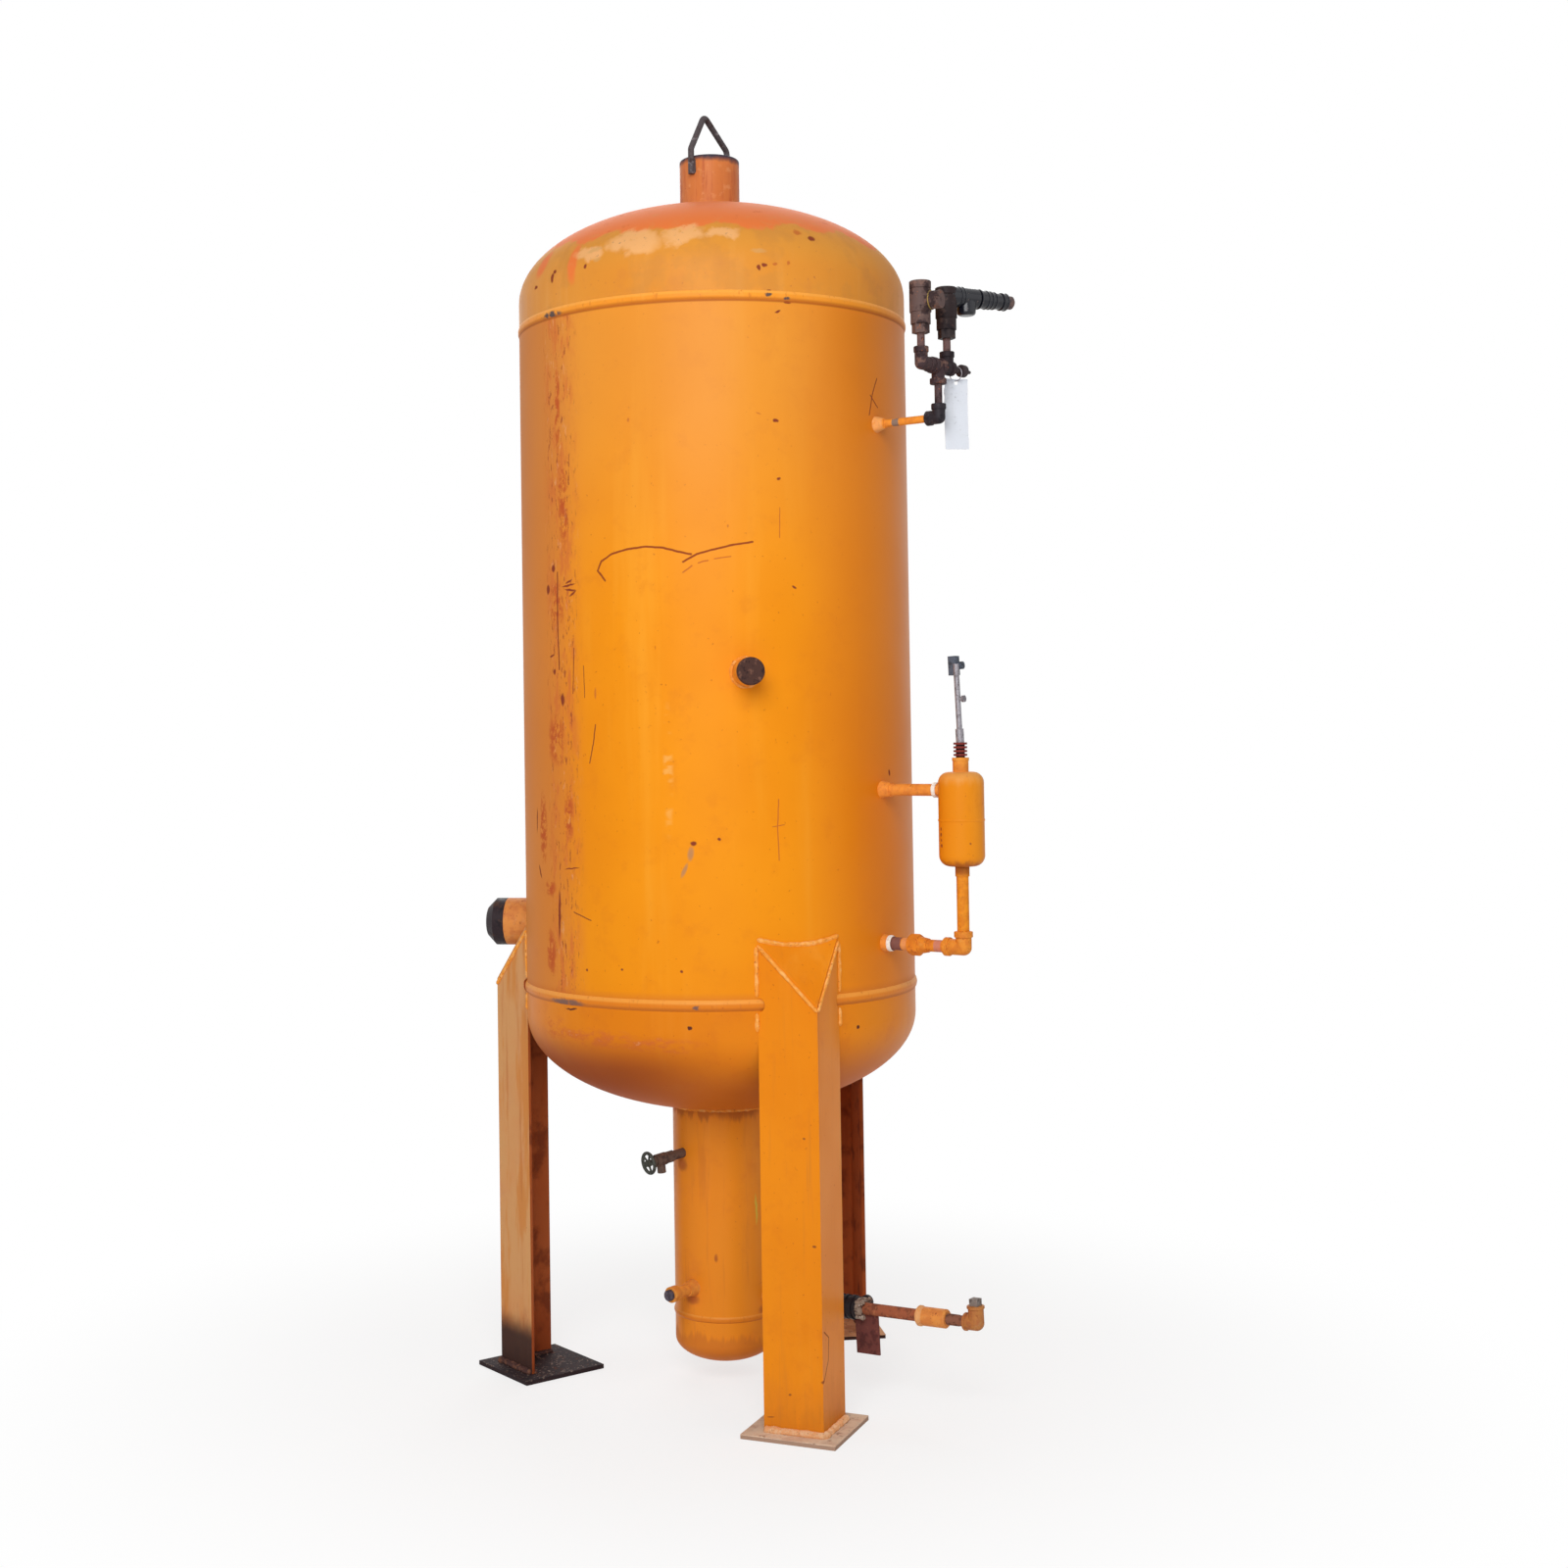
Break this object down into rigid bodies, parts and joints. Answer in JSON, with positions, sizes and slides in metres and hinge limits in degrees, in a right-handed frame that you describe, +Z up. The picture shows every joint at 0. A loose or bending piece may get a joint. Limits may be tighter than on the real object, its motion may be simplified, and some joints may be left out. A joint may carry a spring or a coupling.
{
  "type": "oil scrubber tank",
  "caption": "Upright steel process vessel with dished ends on angle-iron legs, with a boot, lifting neck, relief valves, level chamber and drain line.",
  "frame": {"origin": "on the vessel's vertical axis at ground level, under the middle of the boot", "axes": "+Z up along the vessel's axis, -Y towards the front leg, +X to the right of it"},
  "size_m": [1.0581, 1.0749, 2.9759],
  "materials": {
    "orange_paint": "weathered gloss enamel",
    "scorched_paint": "scorched at the rim",
    "black_iron": "matt black",
    "dark_iron": "dull",
    "rusty_iron": "rusty",
    "red_rust_pipe": "red rust",
    "brown_plate": "brown rust",
    "gloss_black": "gloss",
    "grey_bar": "dull mill finish",
    "galvanised_steel": "galvanised",
    "grey_steel": "dull",
    "pale_steel": "worn plating",
    "white_tag": "matt"
  },
  "bodies": {
    "tank": {"bleed_cock": "dark_iron", "boot": "orange_paint", "boot_cap": "orange_paint", "boot_stub": "orange_paint", "boot_stub_plug": "grey_steel", "boot_weld": "orange_paint", "bottom_girth_weld": "orange_paint", "bottom_head": "orange_paint", "drain_coupling": "orange_paint", "drain_elbow": "orange_paint", "drain_nipple": "red_rust_pipe", "drain_pipe": "red_rust_pipe", "drain_plate": "brown_plate", "drain_plug": "grey_steel", "drain_tap": "orange_paint", "drain_valve": "black_iron", "drain_valve_end": "pale_steel", "front_base_plate": "rusty_iron", "front_leg": "orange_paint", "front_leg_lid": "orange_paint", "front_nozzle": "orange_paint", "front_nozzle_plug": "dark_iron", "gauge_valve": "dark_iron", "left_base_plate": "rusty_iron", "left_leg": "orange_paint", "left_leg_lid": "orange_paint", "left_relief_valve": "rusty_iron", "level_chamber": "orange_paint", "level_gland": "orange_paint", "level_lower_elbow": "orange_paint", "level_lower_tap": "orange_paint", "level_riser": "orange_paint", "level_rod": "galvanised_steel", "level_rod_clamp": "dark_iron", "level_union": "orange_paint", "level_upper_tap": "orange_paint", "lifting_loop": "grey_bar", "manifold_elbow": "rusty_iron", "manifold_lower_tee": "rusty_iron", "manifold_upper_tee": "black_iron", "relief_bonnet": "gloss_black", "relief_elbow": "black_iron", "relief_nipples": "rusty_iron", "relief_pipe": "orange_paint", "relief_riser": "rusty_iron", "relief_tag": "white_tag", "right_base_plate": "rusty_iron", "right_leg": "orange_paint", "right_leg_lid": "orange_paint", "right_relief_valve": "black_iron", "shell": "orange_paint", "side_nozzle": "orange_paint", "side_nozzle_cap": "black_iron", "top_girth_weld": "orange_paint", "top_head": "orange_paint", "top_nozzle": "scorched_paint", "top_nozzle_plug": "dark_iron"},
    "gauge_wheel": {"gauge_handwheel": "dark_iron"}
  },
  "joints": [
    {"name": "gauge_wheel_turn", "type": "hinge", "parent": "tank", "child": "gauge_wheel", "pos_m": [-0.11446, -0.03067, 0.53], "axis": [-0.9591, -0.257, -0.1184], "range_deg": [0, 900]}
  ]
}
